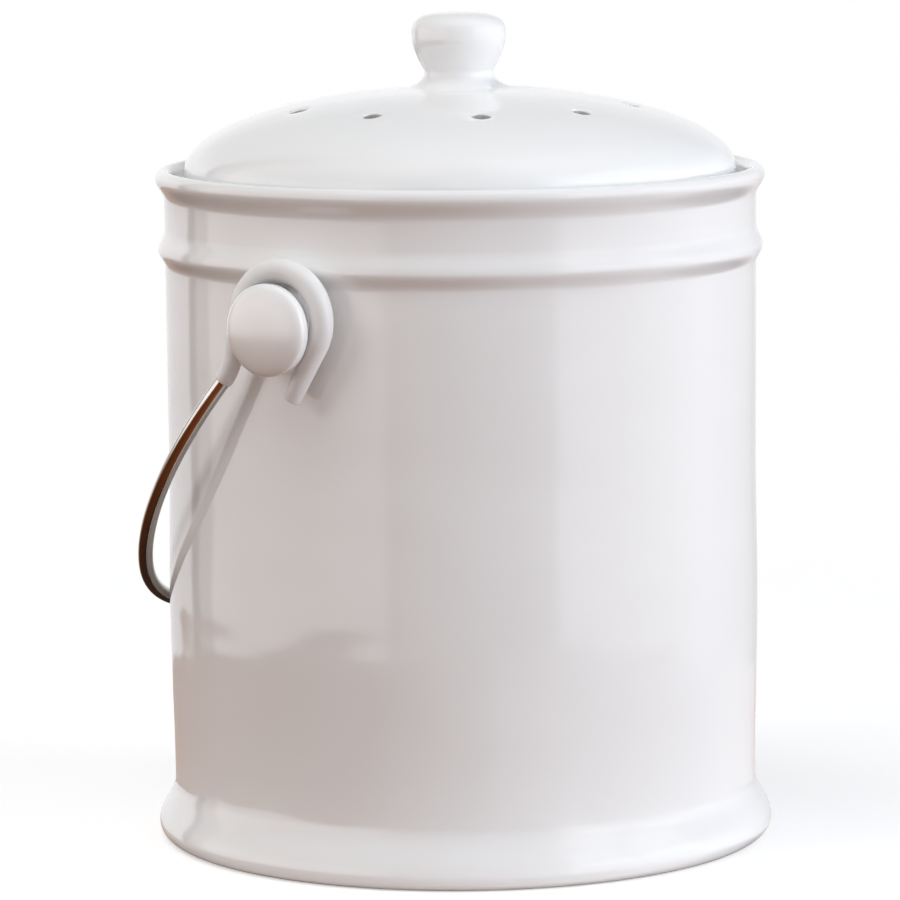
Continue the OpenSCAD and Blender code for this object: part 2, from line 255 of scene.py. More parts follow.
pail_outline = (
    [(r, RING_RECESS) for r in RECESS_RINGS]
    + arc(RING_IN_R - RECESS_ROUND, RECESS_ROUND, RECESS_ROUND, RECESS_ROUND, 90, 0, 4)
    + arc(RING_IN_R + RING_SOFT, RING_SOFT, RING_SOFT, RING_SOFT, 180, 270, 4)
    + arc(FOOT_R - FOOT_ROUND, FOOT_ROUND, FOOT_ROUND, FOOT_ROUND, -90, 0, 12)
    + sweep(FOOT_R, FOOT_ROUND, WALL_FOOT_R, WALL_LOW_Z, 18)
    + [(wall_at(z), z) for _, z in run(0.0, WALL_LOW_Z, 0.0, WALL_HIGH_Z, 40)]
    + sweep(WALL_TOP_R, WALL_HIGH_Z, BEAD_R, BEAD_Z, 9)
    + sweep(BEAD_R, BEAD_Z, WALL_TOP_R, BEAD_Z + BEAD_HIGH_H, 10)
    + sweep(WALL_TOP_R, LIP_Z - LIP_SWEEP_H, LIP_R, LIP_Z, 10, 0)
    + arc(LIP_R - LIP_T / 2, LIP_Z, LIP_T / 2, LIP_CROWN_H, 0, 180, 20, 1)
    + arc(LIP_IN_R - SOFT_R, LEDGE_Z + SOFT_R, SOFT_R, SOFT_R, 0, -90, 5)
    + arc(LEDGE_R + SOFT_R, LEDGE_Z - SOFT_R, SOFT_R, SOFT_R, 90, 180, 5)
    + sweep(LEDGE_R, LEDGE_Z - LEDGE_T, WALL_IN_R, LEDGE_Z - LEDGE_T - LEDGE_SLOPE_H, 10, 0)
    + run(WALL_IN_R, LEDGE_Z - LEDGE_T - LEDGE_SLOPE_H, WALL_IN_R, FLOOR_Z + FLOOR_FILLET, 18)
    + arc(WALL_IN_R - FLOOR_FILLET, FLOOR_Z + FLOOR_FILLET, FLOOR_FILLET, FLOOR_FILLET,
          0, -90, 12, 1)
    + [(r, FLOOR_Z) for r in FLOOR_RINGS]
)
piece("pail", spun(pail_outline, CLAY_STEPS), glaze("pail_glaze", BARE_FOOT),
      "crock", "crock_body")

# Lugs: two stoneware stubs with a pillowed button head, turned apart from the pail,
# luted on below the bead and fired with it. Their glaze is satin, and pools where
# stem meets wall.
LUG_STEPS = 96
LUG_Z = PAIL_H - 41.0
STEM_R = 10.0
BUTTON_R = STEM_R + 3.7
BUTTON_EDGE = 2.4
BUTTON_DOME = 4.0
BUTTON_SOFT = 0.7
UNDERCUT = 0.3
COVE_R = 1.4
COVE_SINK = 0.4
SLEEVE_R = 3.5
EAR_PLAY = 0.5
EAR_X = BEAD_R + EAR_PLAY + SLEEVE_R
BUTTON_X = EAR_X + SLEEVE_R + EAR_PLAY
LUG_ROOT_X = WALL_FOOT_R - 2.3
LUG_ROOT_RINGS = (0.0, 8.0, STEM_R + COVE_R)

lug_outline = (
    [(r, LUG_ROOT_X) for r in LUG_ROOT_RINGS]
    + [(STEM_R + COVE_R, WALL_TOP_R - COVE_SINK)]
    + arc(STEM_R + COVE_R, WALL_TOP_R + COVE_R, COVE_R, COVE_R, -90, -180, 8)
    + run(STEM_R, WALL_TOP_R + COVE_R, STEM_R, BUTTON_X - UNDERCUT, 3)
    + arc(STEM_R + UNDERCUT, BUTTON_X - UNDERCUT, UNDERCUT, UNDERCUT, 180, 90, 3, 1)
    + arc(BUTTON_R - BUTTON_SOFT, BUTTON_X + BUTTON_SOFT, BUTTON_SOFT, BUTTON_SOFT, -90, 0, 6)
    + arc(0.0, BUTTON_X + BUTTON_EDGE, BUTTON_R, BUTTON_DOME, 0, 90, 26)
)
satin, tree = fresh("button_glaze")
skin = use(tree, glaze_skin, Wave=0.25, Gloss=0.18)
cream = add(tree, "ShaderNodeTexNoise", Vector=own_space(tree), Scale=90.0)
tone = ramp(tree, cream.outputs["Fac"], [(0.3, (0.905, 0.905, 0.90)), (0.7, (0.925, 0.92, 0.915))])
shade(tree, Base_Color=tone, Roughness=skin.outputs["Roughness"], IOR=GLAZE_IOR, Coat_Weight=0.8,
      Coat_Roughness=0.2, Normal=skin.outputs["Normal"])

for side, name in ((1, "lug_right"), (-1, "lug_left")):
    bm = spun(lug_outline, LUG_STEPS)
    bmesh.ops.transform(bm, matrix=Matrix.Rotation(math.radians(90), 4, "Y"), verts=bm.verts)
    for v in bm.verts:
        hollow = WALL_TOP_R * MM - math.sqrt((WALL_TOP_R * MM) ** 2 - v.co.y ** 2)
        past_wall = (v.co.x / MM - WALL_TOP_R) / (2 * COVE_R)
        v.co.x -= hollow * min(1.0, max(0.0, 1.0 - past_wall))
    at_side = Matrix.Translation((0, 0, LUG_Z * MM)) @ Matrix.Scale(side, 4, (1, 0, 0))
    bmesh.ops.transform(bm, matrix=at_side, verts=bm.verts)
    piece(name + "_button", bm, satin, "crock", name)

# Lid: a jiggered dome of the same clay with an upright edge, a flange that sits dry on
# the ledge and a skirt that keeps it centred. Ten vents are punched through the soft
# clay, so the glaze rounds their upper edges and leaves their walls rough.
LID_STEPS = 160
LID_R = LIP_IN_R - 3.8
SEAT_Z = LEDGE_Z + 0.05
DOME_Z = SEAT_Z + 5.5
DOME_H = 25.4
DOME_TOP_Z = DOME_Z + DOME_H
DOME_RINGS = 14
SKIRT_R = LEDGE_R - 2.0
SKIRT_IN_R = SKIRT_R - 3.8
SKIRT_Z = SEAT_Z - 12.0
SKIRT_ROOT = 0.5
SHOULDER_Z = SEAT_Z - 1.8
CAVITY_R = SKIRT_IN_R - 2.5
CAVITY_Z = DOME_Z - 1.6
CAVITY_H = DOME_TOP_Z - 4.8 - CAVITY_Z
BARE_FLANGE = (SEAT_Z - 0.05, SEAT_Z + 0.05)
VENT_RING_R = 53.5
VENT_R = 2.8
VENT_SOFT = 0.6
VENT_COUNT = 10
VENT_TURN = 4.5
VENT_GRID = 1.8
VENT_PATCH = 3
VENT_SIDES = 8 * VENT_PATCH
OF_FACE = 1.0
ROUND_STEPS = 4


def dome_height(r, edge_r, edge_z, rise):
    """Height of an elliptic dome over a radius."""
    return edge_z + rise * math.sqrt(max(0.0, 1 - (r / edge_r) ** 2))


def dome(edge_r, edge_z, rise, count):
    """Half the outline of a dome, from crown to edge, with an even grid where the vents go."""
    near, far = VENT_RING_R - VENT_PATCH * VENT_GRID, VENT_RING_R + VENT_PATCH * VENT_GRID
    start = math.asin(far / edge_r)
    radii = [near * i / DOME_RINGS for i in range(DOME_RINGS)]
    radii += [near + VENT_GRID * i for i in range(2 * VENT_PATCH + 1)]
    radii += [edge_r * math.sin(start + (math.pi / 2 - start) * i / count)
              for i in range(1, count + 1)]
    return [(r, dome_height(r, edge_r, edge_z, rise)) for r in radii]


def ring_about(bm, turn, radius, surface):
    """A ring of points round a vent, laid on one face of the dome."""
    spot = Matrix.Rotation(turn, 4, "Z") @ Matrix.Translation((VENT_RING_R * MM, 0, 0))
    ring = bmesh.ops.create_circle(bm, segments=VENT_SIDES, radius=radius * MM,
                                   matrix=spot)["verts"]
    for v in ring:
        v.co.z = dome_height(math.hypot(v.co.x, v.co.y) / MM, *surface) * MM
    return list({e for v in ring for e in v.link_edges})


def draw_on(bm, ring, step, scale=1.0):
    """Carries an open ring of edges on by a step, swelling or shrinking it about its centre."""
    made = bmesh.ops.extrude_edge_only(bm, edges=ring)["geom"]
    verts = [g for g in made if isinstance(g, bmesh.types.BMVert)]
    centre = sum((v.co for v in verts), Vector()) / len(verts)
    bmesh.ops.scale(bm, vec=(scale, scale, scale), space=Matrix.Translation(-centre), verts=verts)
    bmesh.ops.translate(bm, vec=Vector(step) * MM, verts=verts)
    new_verts = set(verts)
    return [g for g in made if isinstance(g, bmesh.types.BMEdge) and new_verts.issuperset(g.verts)]


def quarter():
    """The leans that round an edge over, each with the one before it."""
    return [(math.radians(90 * i / ROUND_STEPS), math.radians(90 * (i - 1) / ROUND_STEPS))
            for i in range(1, ROUND_STEPS + 1)]


def open_vent(bm, turn):
    """Clears a patch on both faces of the dome, rounds the top edge of the hole and lines it."""
    step = 2 * math.pi / LID_STEPS
    mouths = []
    for surface, radius in (((LID_R, DOME_Z, DOME_H), VENT_R + VENT_SOFT),
                            ((CAVITY_R, CAVITY_Z, CAVITY_H), VENT_R)):
        patch = set()
        for f in bm.faces:
            spot = f.calc_center_median()
            r = math.hypot(spot.x, spot.y) / MM
            off = (math.atan2(spot.y, spot.x) - turn + math.pi) % (2 * math.pi) - math.pi
            near = abs(r - VENT_RING_R) < VENT_PATCH * VENT_GRID and abs(off) < VENT_PATCH * step
            if near and abs(spot.z / MM - dome_height(r, *surface)) < OF_FACE:
                patch.add(f)
        border = [e for e in {e for f in patch for e in f.edges}
                  if not patch.issuperset(e.link_faces)]
        bmesh.ops.delete(bm, geom=list(patch), context="FACES")
        ring = ring_about(bm, turn, radius, surface)
        bmesh.ops.bridge_loops(bm, edges=border + ring)
        mouths.append(ring)
    top, under = mouths
    for lean, before in quarter():
        size = VENT_R + VENT_SOFT * (1 - math.sin(lean))
        size_before = VENT_R + VENT_SOFT * (1 - math.sin(before))
        drop = VENT_SOFT * (math.cos(before) - math.cos(lean))
        top = draw_on(bm, top, (0, 0, -drop), size / size_before)
    # The walls of the hole take the second material, a darker grey that is painted shade for the
    # inside of the vent
    for f in bmesh.ops.bridge_loops(bm, edges=top + under)["faces"]:
        f.material_index = 1


lid_outline = (
    dome(LID_R, DOME_Z, DOME_H, 24)
    + run(LID_R, DOME_Z, LID_R, SEAT_Z + SOFT_R, 3)
    + arc(LID_R - SOFT_R, SEAT_Z + SOFT_R, SOFT_R, SOFT_R, 0, -90, 5, 1)
    + arc(SKIRT_R + SKIRT_ROOT, SEAT_Z - SKIRT_ROOT, SKIRT_ROOT, SKIRT_ROOT, 90, 180, 3)
    + arc(SKIRT_R - SOFT_R, SKIRT_Z + SOFT_R, SOFT_R, SOFT_R, 0, -90, 5)
    + arc(SKIRT_IN_R + SOFT_R, SKIRT_Z + SOFT_R, SOFT_R, SOFT_R, -90, -180, 5)
    + [(SKIRT_IN_R, SHOULDER_Z), (CAVITY_R, SHOULDER_Z)]
    + dome(CAVITY_R, CAVITY_Z, CAVITY_H, 20)[::-1]
)
bm = spun(lid_outline, LID_STEPS)
for k in range(VENT_COUNT):
    open_vent(bm, math.radians(VENT_TURN + 360 * k / VENT_COUNT))
lid = piece("lid_dome", bm, glaze("lid_glaze", BARE_FLANGE), "lid", "lid")

# The punched walls of the vents are rough, and coloured a darker grey: painted shade for the shade
# deep inside the holes
shaded_vent_wall, tree = fresh("vent_painted_shade")
speckle = add(tree, "ShaderNodeTexNoise", Vector=own_space(tree), Scale=900.0, Detail=2.0)
vent_shade_grey = ramp(tree, speckle.outputs["Fac"], [(0.35, (0.42, 0.41, 0.38)), (0.7, (0.58, 0.565, 0.54))])
shade(tree, Base_Color=vent_shade_grey, Roughness=0.7)
lid.data.materials.append(shaded_vent_wall)

# Knob: turned with a hollow neck and a crowned head, luted on the dome with slip and
# fired with it, so that its foot runs out into the dome without a step.
KNOB_STEPS = 96
KNOB_R = 14.5
KNOB_ROOT_Z = DOME_Z + 20.0
NECK_R = 10.6
NECK_FOOT_R = NECK_R + 7.4
NECK_Z = dome_height(NECK_FOOT_R, LID_R, DOME_Z, DOME_H) - 0.3 + 5.0
KNOB_SWELL_Z = NECK_Z + 0.6
KNOB_TOP_Z = DOME_TOP_Z + 22.6
CROWN_H = 6.9
CROWN_Z = KNOB_TOP_Z - CROWN_H
CROWN_POWER = 3
COVE_STEPS = 16
SWELL_STEPS = 16
CROWN_STEPS = 20
SLIP_LAP = 0.02
NO_BARE = (-2.0, -1.0)

cove = []
for i in range(COVE_STEPS + 1):
    out = math.radians(90 * i / COVE_STEPS)
    r = NECK_FOOT_R - (NECK_FOOT_R - NECK_R) * math.sin(out)
    ground = dome_height(r, LID_R, DOME_Z, DOME_H) - SLIP_LAP
    rise = NECK_Z - dome_height(NECK_R, LID_R, DOME_Z, DOME_H)
    cove.append((r, ground + rise * (1 - math.cos(out))))
swell = []
for i in range(1, SWELL_STEPS + 1):
    t = i / SWELL_STEPS
    swell.append((NECK_R + (KNOB_R - NECK_R) * math.sin(math.pi / 2 * t),
                  KNOB_SWELL_Z + (CROWN_Z - KNOB_SWELL_Z) * t))
crown = []
for i in range(1, CROWN_STEPS + 1):
    t = math.sin(math.pi / 2 * i / CROWN_STEPS)
    crown.append((KNOB_R * (1 - t ** CROWN_POWER) ** (1 / CROWN_POWER), CROWN_Z + CROWN_H * t))
knob_outline = ([(0.0, KNOB_ROOT_Z), (NECK_FOOT_R, KNOB_ROOT_Z)]
                + cove + [(NECK_R, KNOB_SWELL_Z)] + swell + crown)
piece("knob", spun(knob_outline, KNOB_STEPS), glaze("knob_glaze", NO_BARE, 0.3),
      "lid", "lid_knob", sharp=60.0)

# Charcoal disc: needled felt loaded with active carbon, die-cut to sit in the skirt
# under the vents. Its faces are a little uneven and its cut edge is soft.
DISC_STEPS = 144
DISC_R = SKIRT_IN_R - 0.15
DISC_TOP_Z = SHOULDER_Z - 0.05
DISC_T = 8.0
DISC_SOFT = 0.9
DISC_UNEVEN = 0.35
LUMP_SCALE = 190.0
FIBRE_SCALE = 700.0

disc_outline = (
    run(0.0, DISC_TOP_Z - DISC_T, DISC_R - DISC_SOFT, DISC_TOP_Z - DISC_T, 22, 0)
    + arc(DISC_R - DISC_SOFT, DISC_TOP_Z - DISC_T + DISC_SOFT, DISC_SOFT, DISC_SOFT, -90, 0, 5, 1)
    + run(DISC_R, DISC_TOP_Z - DISC_T + DISC_SOFT, DISC_R, DISC_TOP_Z - DISC_SOFT, 4)
    + arc(DISC_R - DISC_SOFT, DISC_TOP_Z - DISC_SOFT, DISC_SOFT, DISC_SOFT, 0, 90, 5, 1)
    + run(DISC_R - DISC_SOFT, DISC_TOP_Z, 0.0, DISC_TOP_Z, 22)
)
bm = spun(disc_outline, DISC_STEPS)
bmesh.ops.recalc_face_normals(bm, faces=bm.faces)
bm.normal_update()
for v in bm.verts:
    lump = noise.noise(v.co * LUMP_SCALE) + 0.5 * noise.noise(v.co * FIBRE_SCALE)
    v.co -= v.normal * DISC_UNEVEN * MM * min(1.0, max(0.0, 0.5 + 0.5 * lump))

felt, tree = fresh("carbon_felt")
place = own_space(tree)
stretched = add(tree, "ShaderNodeMapping", Vector=place, Scale=(1.0, 3.5, 1.0))
strand = add(tree, "ShaderNodeTexNoise", Vector=stretched.outputs[0], Scale=900.0, Detail=4.0,
             Distortion=1.6)
pellet = add(tree, "ShaderNodeTexVoronoi", Vector=place, Scale=620.0)
coal = ramp(tree, strand.outputs["Fac"],
            [(0.35, (0.012, 0.012, 0.013)), (0.7, (0.055, 0.053, 0.052))])
matted = add(tree, "ShaderNodeMath", "MULTIPLY_ADD", _0=pellet.outputs["Distance"], _1=-0.6,
             _2=strand.outputs["Fac"])
nap = add(tree, "ShaderNodeBump", Strength=0.9, Distance=0.0006, Height=matted.outputs[0])
shade(tree, Base_Color=coal, Roughness=0.95, Sheen_Weight=0.25, Normal=nap.outputs[0])
disc = piece("charcoal_disc", bm, felt, "filter", "charcoal_filter")

# Bail rod: one length of polished stainless rod, with a hooked ear at each end, deeper
# than round, a bend out of it, a long side curve and the arch. It is drawn hanging
# straight down, then leant on the wall.
ROD_SIDES = 28
ROD_R = 2.3
ROD_OFFSET = 4.4
TIP_SOFT = 0.4
EAR_LEAN = math.radians(28.0)
TAIL_LEAN = math.radians(12.0)
TAIL_LEN = 19.0
TAIL_RECESS = 1.2
NECK_BEND_R = 17.0
ARCH_R = EAR_X - 10.4
ARCH_FROM = math.radians(45.0)
SIDE_R = (EAR_X - ARCH_R * math.cos(ARCH_FROM)) / (1 - math.cos(ARCH_FROM))
CROOK_RISE = 2.9
CROOK_LEAN = (EAR_LEAN + TAIL_LEAN) / 2
CROOK_R = STEM_R + EAR_PLAY + SLEEVE_R + CROOK_RISE * math.sin((EAR_LEAN - TAIL_LEAN) / 2)
CROOK_TURN = math.pi + EAR_LEAN - TAIL_LEAN
CROOK_CENTRE = Vector((EAR_X, CROOK_RISE * math.sin(CROOK_LEAN), CROOK_RISE * math.cos(CROOK_LEAN)))
LEG_WAY = Vector((0, -math.sin(EAR_LEAN), -math.cos(EAR_LEAN)))
LEG_START = CROOK_CENTRE + CROOK_R * Vector((0, math.cos(EAR_LEAN), -math.sin(EAR_LEAN)))
LEG_LEN = ((LEG_START.y - NECK_BEND_R * (1 - math.cos(EAR_LEAN)) - ROD_OFFSET)
           / math.sin(EAR_LEAN))
LEG_END = LEG_START + LEG_WAY * LEG_LEN
LEG_STEPS = 4
NECK_CENTRE = LEG_END + NECK_BEND_R * Vector((0, math.cos(EAR_LEAN), -math.sin(EAR_LEAN)))
TAIL_WAY = Vector((0, -math.sin(TAIL_LEAN), -math.cos(TAIL_LEAN)))
TAIL_START = CROOK_CENTRE + CROOK_R * Vector((0, -math.cos(TAIL_LEAN), math.sin(TAIL_LEAN)))
SIDE_DROP = -NECK_CENTRE.z
ARCH_DROP = SIDE_DROP + (SIDE_R - ARCH_R) * math.sin(ARCH_FROM)
BAIL_REACH = ARCH_DROP + ARCH_R
LEAN_REACH = max(WALL_TOP_R, wall_at(SWELL_Z)) + ROD_R + 0.05
BAIL_LEAN = (math.asin(LEAN_REACH / math.hypot(BAIL_REACH, ROD_OFFSET))
             - math.atan2(ROD_OFFSET, BAIL_REACH))
ALONG_X = (1, 0, 0)
ALONG_Y = (0, 1, 0)
hang = Matrix.Translation((0, 0, LUG_Z * MM)) @ Matrix.Rotation(BAIL_LEAN, 4, "X")


def bend(bm, ring, centre, axis, turn, steps):
    """Spins an open ring of edges about a centre, as a rod is bent round a former."""
    points = list({v for e in ring for v in e.verts})
    last = bmesh.ops.spin(bm, geom=points + ring, cent=centre * MM, axis=axis, dvec=(0, 0, 0),
                          angle=turn, steps=steps)["geom_last"]
    return [g for g in last if isinstance(g, bmesh.types.BMEdge)]


def first_ring(bm, at, way, radius, sides, capped):
    """The ring that a rod or a sleeve is drawn from, square to its way."""
    square = Matrix.Translation(at * MM) @ way.to_track_quat("Z", "Y").to_matrix().to_4x4()
    verts = bmesh.ops.create_circle(bm, cap_ends=capped, segments=sides, radius=radius * MM,
                                    matrix=square)["verts"]
    rim = set(verts)
    return [e for e in {e for v in verts for e in v.link_edges} if rim.issuperset(e.verts)]


bm = bmesh.new()
rod_tip = TAIL_START + TAIL_WAY * (TAIL_LEN - TAIL_RECESS)
ring = first_ring(bm, rod_tip, TAIL_WAY, ROD_R - TIP_SOFT, ROD_SIDES, True)
ring = draw_on(bm, ring, -TAIL_WAY * TIP_SOFT, ROD_R / (ROD_R - TIP_SOFT))
ring = draw_on(bm, ring, -TAIL_WAY * (TAIL_LEN - TAIL_RECESS - TIP_SOFT))
ring = bend(bm, ring, CROOK_CENTRE, ALONG_X, -CROOK_TURN, 48)
for i in range(LEG_STEPS):
    ring = draw_on(bm, ring, LEG_WAY * LEG_LEN / LEG_STEPS)
ring = bend(bm, ring, NECK_CENTRE, ALONG_X, EAR_LEAN, 10)
ring = bend(bm, ring, Vector((EAR_X - SIDE_R, ROD_OFFSET, -SIDE_DROP)), ALONG_Y, ARCH_FROM, 40)
ring = bend(bm, ring, Vector((0, ROD_OFFSET, -ARCH_DROP)), ALONG_Y, math.pi / 2 - ARCH_FROM, 40)
bmesh.ops.mirror(bm, geom=bm.verts[:] + bm.edges[:] + bm.faces[:], matrix=Matrix(),
                 merge_dist=2e-6, axis="X")
bmesh.ops.transform(bm, matrix=hang, verts=bm.verts)

steel, tree = fresh("polished_steel")
place = own_space(tree)
haze = add(tree, "ShaderNodeTexNoise", Vector=place, Scale=120.0, Detail=3.0)
buffed = add(tree, "ShaderNodeTexNoise", Vector=place, Scale=2600.0, Detail=1.0)
metal = ramp(tree, haze.outputs["Fac"], [(0.3, (0.43, 0.41, 0.385)), (0.7, (0.50, 0.48, 0.455))])
polish = add(tree, "ShaderNodeMath", "MULTIPLY_ADD", _0=haze.outputs["Fac"], _1=0.12, _2=0.04)
buff = add(tree, "ShaderNodeBump", Strength=0.15, Distance=0.00005, Height=buffed.outputs["Fac"])
shade(tree, Base_Color=metal, Metallic=1.0, Roughness=polish.outputs[0], Normal=buff.outputs[0])
piece("rod", bm, steel, "bail", "bail_rod", sharp=60.0)

# Ear sleeves: satin white plastic moulded over each ear, thickest round the stem and
# thinner towards the open tail, where the recessed end of the rod shows, and towards
# the rod, past the bend.
SLEEVE_SIDES = 40
SLEEVE_BORE_R = ROD_R + 0.02
SLEEVE_ROD_END_R = 2.8
SLEEVE_TAIL_R = 2.7
SLEEVE_SOFT = 0.45
SLEEVE_CROOK_STEPS = 56
SLEEVE_NECK_STEPS = 14
LENGTH_STEPS = 6


def round_over(bm, ring, inner, outer, soft):
    """Carries a sleeve's skin out of the bore and round its lower end, square to the rod."""
    ring = draw_on(bm, ring, (0, 0, 0), (outer - soft) / inner)
    size = outer - soft
    for lean, before in quarter():
        wide = outer - soft + soft * math.sin(lean)
        ring = draw_on(bm, ring, (0, 0, soft * (math.cos(before) - math.cos(lean))), wide / size)
        size = wide
    return ring


def taper(bm, ring, way, length, start, end):
    """Carries a sleeve's skin along a straight length that swells or thins evenly."""
    size = start
    for i in range(1, LENGTH_STEPS + 1):
        wide = start + (end - start) * i / LENGTH_STEPS
        ring = draw_on(bm, ring, way * length / LENGTH_STEPS, wide / size)
        size = wide
    return ring


plastic, tree = fresh("sleeve_plastic")
place = own_space(tree)
mottle = add(tree, "ShaderNodeTexNoise", Vector=place, Scale=60.0, Detail=2.0)
spark = add(tree, "ShaderNodeTexNoise", Vector=place, Scale=1800.0, Detail=2.0)
milk = ramp(tree, mottle.outputs["Fac"], [(0.3, (0.83, 0.82, 0.81)), (0.7, (0.86, 0.855, 0.85))])
satin_gloss = add(tree, "ShaderNodeMath", "MULTIPLY_ADD", _0=spark.outputs["Fac"], _1=0.10,
                  _2=0.30)
texture = add(tree, "ShaderNodeBump", Strength=0.12, Distance=0.0001, Height=spark.outputs["Fac"])
shade(tree, Base_Color=milk, Roughness=satin_gloss.outputs[0], Subsurface_Weight=0.3,
      Subsurface_Radius=(1.0, 1.0, 1.0), Subsurface_Scale=0.003, Normal=texture.outputs[0])

for side, name in ((1, "ear_right"), (-1, "ear_left")):
    bm = bmesh.new()
    tail_end = TAIL_START + TAIL_WAY * TAIL_LEN
    mouth = first_ring(bm, tail_end, TAIL_WAY, SLEEVE_BORE_R, SLEEVE_SIDES, False)
    ring = draw_on(bm, mouth, -TAIL_WAY * TAIL_LEN)
    ring = bend(bm, ring, CROOK_CENTRE, ALONG_X, -CROOK_TURN, SLEEVE_CROOK_STEPS)
    ring = draw_on(bm, ring, LEG_WAY * LEG_LEN)
    ring = bend(bm, ring, NECK_CENTRE, ALONG_X, EAR_LEAN, SLEEVE_NECK_STEPS)
    ring = round_over(bm, ring, SLEEVE_BORE_R, SLEEVE_ROD_END_R, SLEEVE_SOFT)
    ring = bend(bm, ring, NECK_CENTRE, ALONG_X, -EAR_LEAN, SLEEVE_NECK_STEPS)
    ring = taper(bm, ring, -LEG_WAY, LEG_LEN - SLEEVE_SOFT, SLEEVE_ROD_END_R, SLEEVE_R)
    ring = bend(bm, ring, CROOK_CENTRE, ALONG_X, CROOK_TURN, SLEEVE_CROOK_STEPS)
    ring = taper(bm, ring, TAIL_WAY, TAIL_LEN - SLEEVE_SOFT, SLEEVE_R, SLEEVE_TAIL_R)
    size = SLEEVE_TAIL_R
    for lean, before in quarter():
        wide = SLEEVE_TAIL_R - SLEEVE_SOFT + SLEEVE_SOFT * math.cos(lean)
        step = TAIL_WAY * SLEEVE_SOFT * (math.sin(lean) - math.sin(before))
        ring = draw_on(bm, ring, step, wide / size)
        size = wide
    bmesh.ops.bridge_loops(bm, edges=ring + mouth)
    bmesh.ops.transform(bm, matrix=hang @ Matrix.Scale(side, 4, (1, 0, 0)), verts=bm.verts)
    piece(name + "_sleeve", bm, plastic, "bail", name)

# Studio: a pale floor that keeps a soft shadow, a broad window lamp on the right,
# weaker ones on the left and above, and a plain room that the glaze and the steel
# mirror.
CAM_AZIMUTH = math.radians(-56.5)
CAM_HEIGHT = math.radians(7.729)
CAM_DISTANCE = 1.584367
CAM_AIM_SIDE = -0.003845
CAM_AIM_Z = 0.119012
CAM_ROLL = math.radians(-0.551)
CAM_LENS = 204.44
CAM_SENSOR = 36.0

to_camera = Vector((math.sin(CAM_AZIMUTH), -math.cos(CAM_AZIMUTH), 0.0))
to_right = Vector((math.cos(CAM_AZIMUTH), math.sin(CAM_AZIMUTH), 0.0))
up = Vector((0, 0, 1))
stand = (to_camera * CAM_DISTANCE * math.cos(CAM_HEIGHT)
         + up * (CAM_AIM_Z + CAM_DISTANCE * math.sin(CAM_HEIGHT)))
aim = to_right * CAM_AIM_SIDE + up * CAM_AIM_Z
camera_data = bpy.data.cameras.new("camera")
camera_data.lens = CAM_LENS
camera_data.sensor_width = CAM_SENSOR
camera = bpy.data.objects.new("camera", camera_data)
look = (aim - stand).to_track_quat("-Z", "Y").to_matrix().to_4x4()
camera.matrix_world = Matrix.Translation(stand) @ look @ Matrix.Rotation(CAM_ROLL, 4, "Z")
scene.collection.objects.link(camera)
scene.camera = camera

# What the glaze mirrors, in degrees going round from behind the pail, with the camera
# at 0: the walls above the worktop's edge, the worktop, and the near wood under it
ROOM = [
    (-180, (0.9, 0.9, 0.92)),
    (-158, (1.0, 1.0, 1.02)),
    (-133, (1.2, 1.2, 1.22)),
    (-130.5, (0.2, 0.18, 0.18)),
    (-126, (0.2, 0.18, 0.18)),
    (-124, (0.7, 0.68, 0.68)),
    (-116, (0.8, 0.77, 0.77)),
    (-113, (1.6, 1.55, 1.53)),
    (-80, (1.9, 1.8, 1.8)),
    (-45, (1.8, 1.7, 1.7)),
    (-32, (1.6, 1.5, 1.52)),
    (-27, (0.8, 0.75, 0.76)),
    (20, (0.8, 0.8, 0.82)),
    (34, (1.2, 1.2, 1.25)),
    (40, (2.3, 2.35, 2.45)),
    (105, (2.2, 2.25, 2.3)),
    (120, (1.6, 1.65, 1.7)),
    (140, (1.1, 1.1, 1.12)),
    (158, (0.75, 0.75, 0.75)),
    (180, (0.9, 0.9, 0.92)),
]
WORKTOP = [
    (-180, (0.6, 0.5, 0.45)),
    (-120, (0.40, 0.20, 0.11)),
    (-40, (0.42, 0.19, 0.10)),
    (-27, (0.55, 0.42, 0.38)),
    (0, (0.8, 0.75, 0.75)),
    (40, (1.6, 1.6, 1.65)),
    (112, (1.8, 1.8, 1.85)),
    (180, (0.6, 0.5, 0.45)),
]
NEAR_WOOD = [
    (-180, (0.05, 0.028, 0.02)),
    (-150, (0.062, 0.024, 0.013)),
    (-110, (0.11, 0.034, 0.014)),
    (-60, (0.19, 0.060, 0.019)),
    (-35, (0.28, 0.066, 0.021)),
    (0, (0.28, 0.132, 0.066)),
    (45, (0.9, 0.85, 0.85)),
    (100, (1.1, 1.08, 1.1)),
    (118, (0.05, 0.032, 0.024)),
    (150, (0.04, 0.026, 0.021)),
    (180, (0.05, 0.028, 0.02)),
]
# Panes of the window on the right: across in degrees, upward by the sine of the height
PANES_ACROSS = [(42, 0.0), (44, 1.0), (67, 1.0), (68, 0.2),
                (71, 0.2), (72, 1.0), (96, 1.0), (98, 0.0)]
PANES_UPWARD = [(0.20, 0.0), (0.22, 1.0), (0.42, 1.0), (0.43, 0.3),
                (0.46, 0.3), (0.47, 1.0), (0.66, 1.0), (0.68, 0.0)]
# How bright the walls are from low to high, by how far up they are
WALL_FROM = -0.15
WALL_LIGHT = [(0.0, 1.0), (0.08, 1.15), (0.3, 1.1), (0.5, 0.65), (0.8, 0.4)]
# What stands on the worktop's far edge: how far it reaches from the low to the high line
EDGE_LOW = math.sin(math.radians(-10.95))
EDGE_HIGH = math.sin(math.radians(-9.8))
EDGE_SOFT = 0.0022
SKYLINE = [(-180, 0.5), (-150, 0.6), (-142, 0.88), (-134, 0.5), (-126, 0.37), (-112, 0.36),
           (-104, 0.43), (-86, 0.51), (-76, 0.6), (-61, 0.68), (-52, 0.45), (-44, 0.12),
           (-36, 0.0), (-28, 0.0), (0, 0.2), (90, 0.4), (180, 0.5)]
NEAR_LOW = math.sin(math.radians(-22.0))
NEAR_HIGH = EDGE_LOW - 0.05

